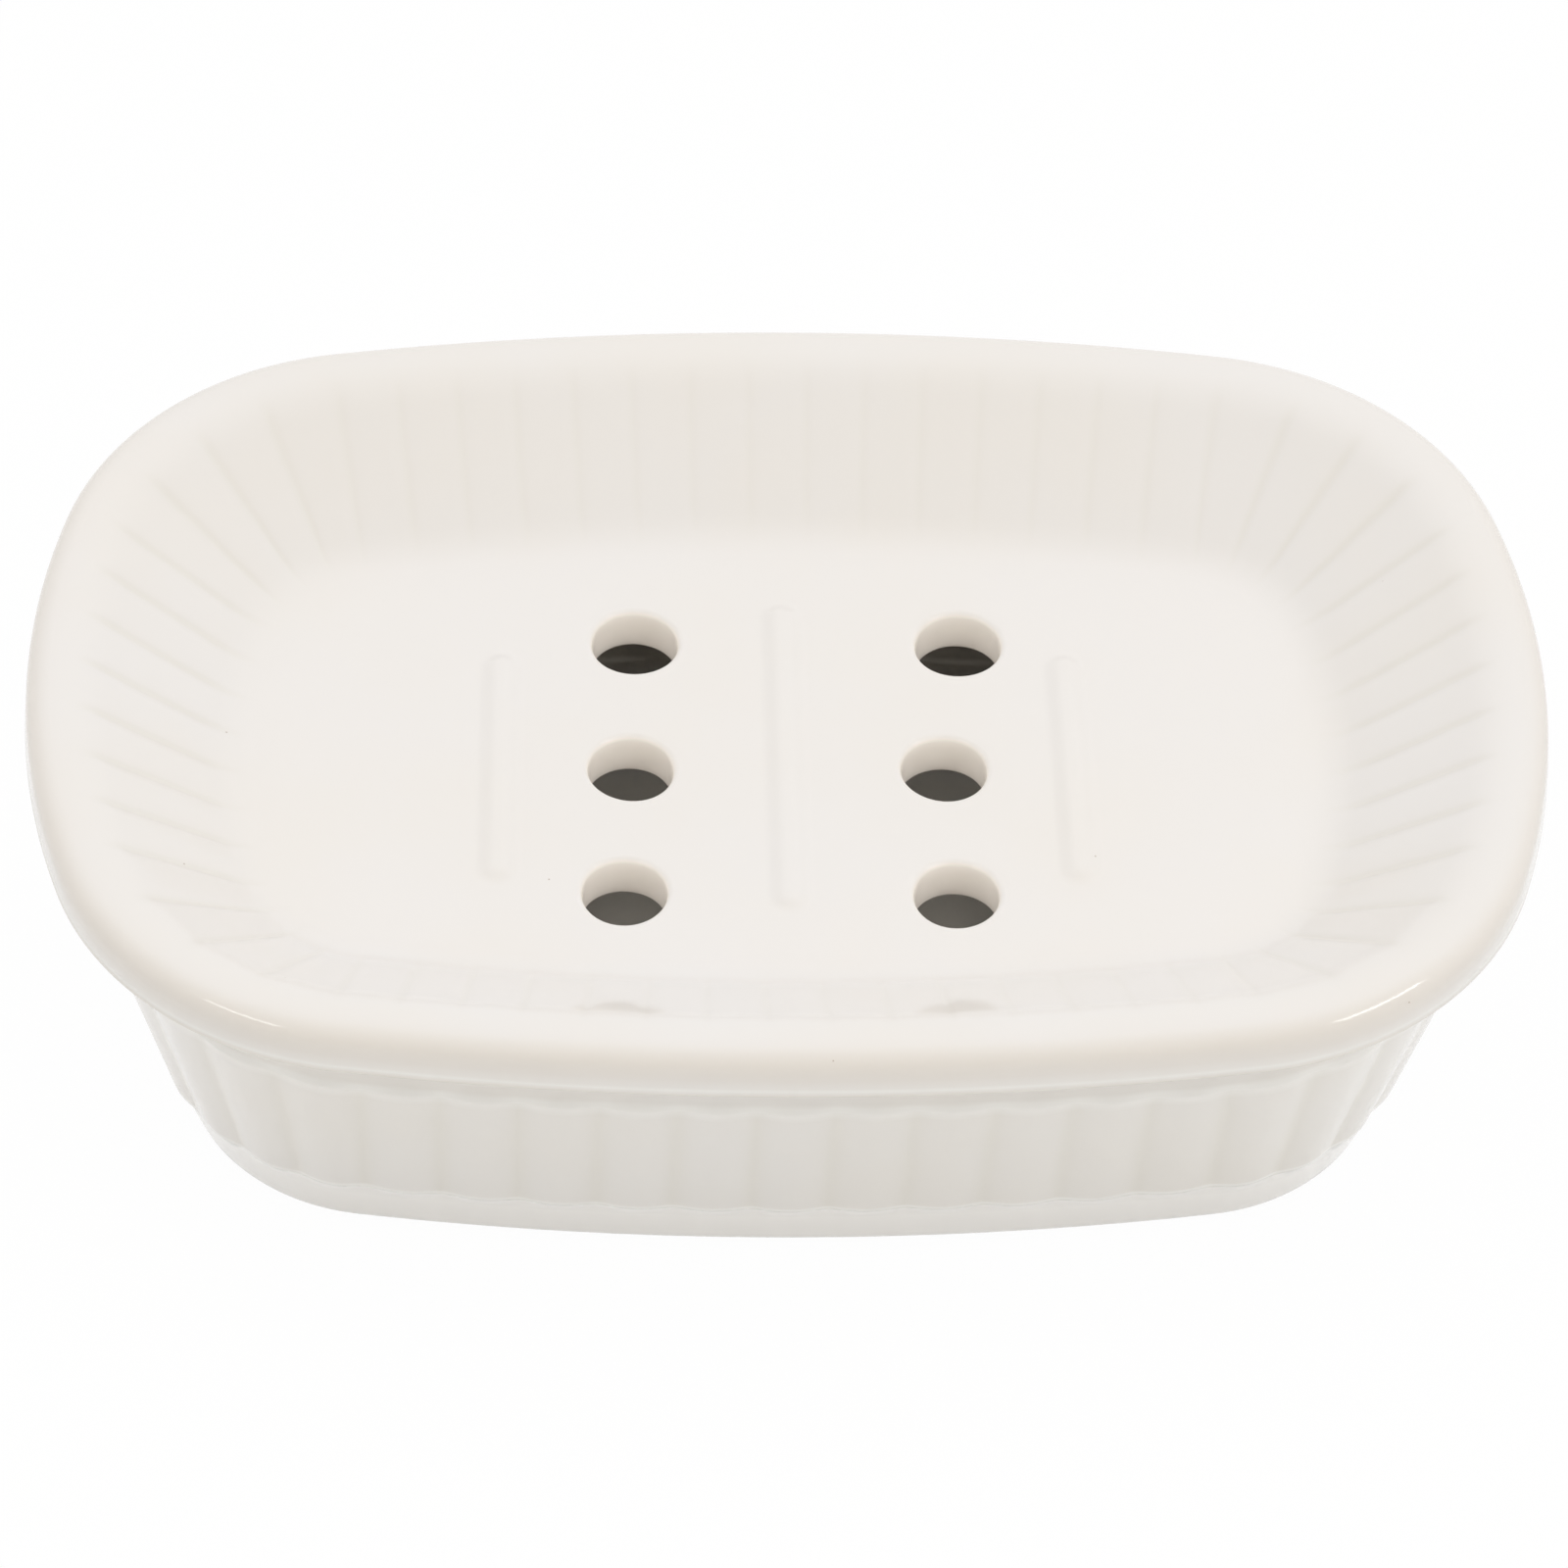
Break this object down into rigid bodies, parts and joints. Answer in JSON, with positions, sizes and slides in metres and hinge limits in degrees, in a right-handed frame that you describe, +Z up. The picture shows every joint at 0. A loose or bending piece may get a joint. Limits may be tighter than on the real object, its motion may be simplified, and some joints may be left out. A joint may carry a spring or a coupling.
{
  "type": "soap dish",
  "caption": "Oval glazed stoneware soap dish in two tiers: a fluted draining tray with holes and ridges rests by its rim on a fluted drip base and lifts off.",
  "frame": {"origin": "centre of the dish's outline, on the surface that it stands on", "axes": "+X along the dish's length, -Y to the front that the picture shows, +Z up"},
  "size_m": [0.14, 0.0954, 0.038],
  "materials": {
    "tray_glaze": "clear gloss glaze over white stoneware",
    "base_glaze": "clear gloss glaze over white stoneware, bare clay on the foot ring",
    "pad_silicone": "frosted soft silicone"
  },
  "bodies": {
    "base": {"drip_base": "base_glaze", "grip_pad_back_right": "pad_silicone", "grip_pad_back_left": "pad_silicone", "grip_pad_front_left": "pad_silicone", "grip_pad_front_right": "pad_silicone"},
    "tray": {"soap_tray": "tray_glaze"}
  },
  "joints": [
    {"name": "tray_lift", "type": "slide", "parent": "base", "child": "tray", "axis": [0, 0, 1], "range_m": [0, 0.06]}
  ]
}
